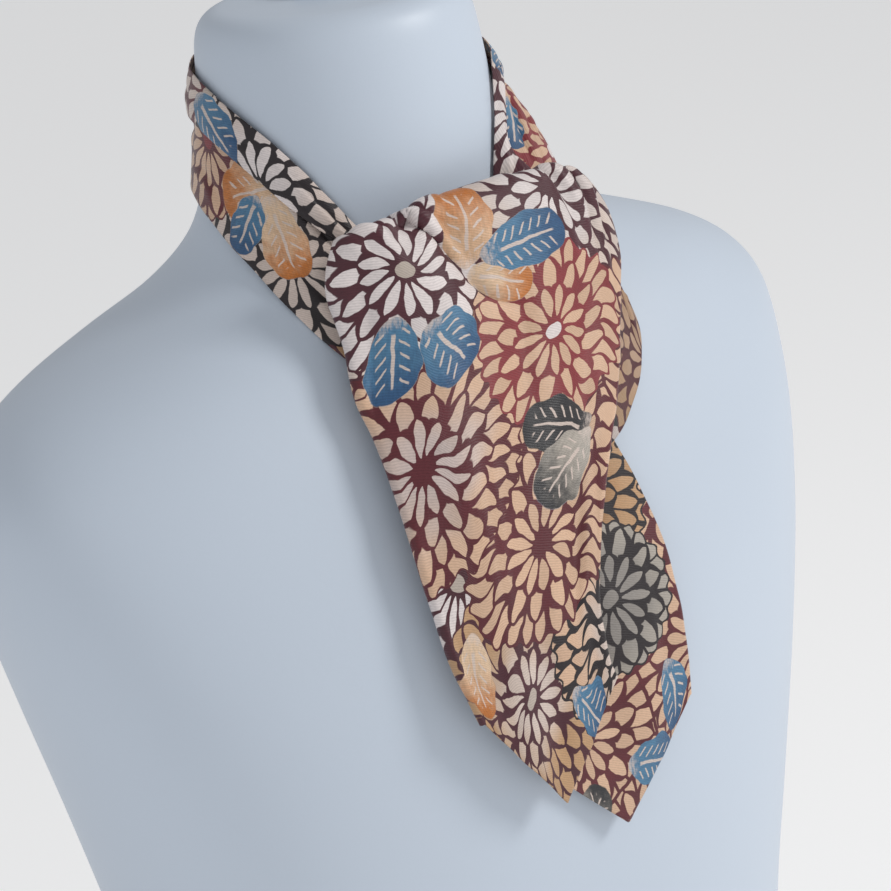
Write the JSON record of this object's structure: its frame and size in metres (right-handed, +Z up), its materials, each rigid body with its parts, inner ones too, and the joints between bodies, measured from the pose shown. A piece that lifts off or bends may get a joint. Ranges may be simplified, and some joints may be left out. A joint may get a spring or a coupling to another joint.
{
  "type": "silk cravat on a limbless dress form",
  "caption": "Printed silk day cravat, wrapped once at the throat with its front blade falling over, on a limbless form that stands on its flat base.",
  "frame": {"origin": "centre of the form's flat base, under the axis of its neck", "axes": "+Z up; the form faces -Y, with the wearer's right hand towards -X"},
  "size_m": [0.372, 0.2325, 0.6473],
  "materials": {
    "silk": "printed silk crepe with a soft sheen",
    "form": "smooth satin plastic"
  },
  "bodies": {
    "root": {"form_body": "form", "form_knob": "form", "neckband": "silk", "neckband_pleat": "silk", "crossing": "silk", "back_blade": "silk", "front_blade": "silk"}
  },
  "joints": []
}
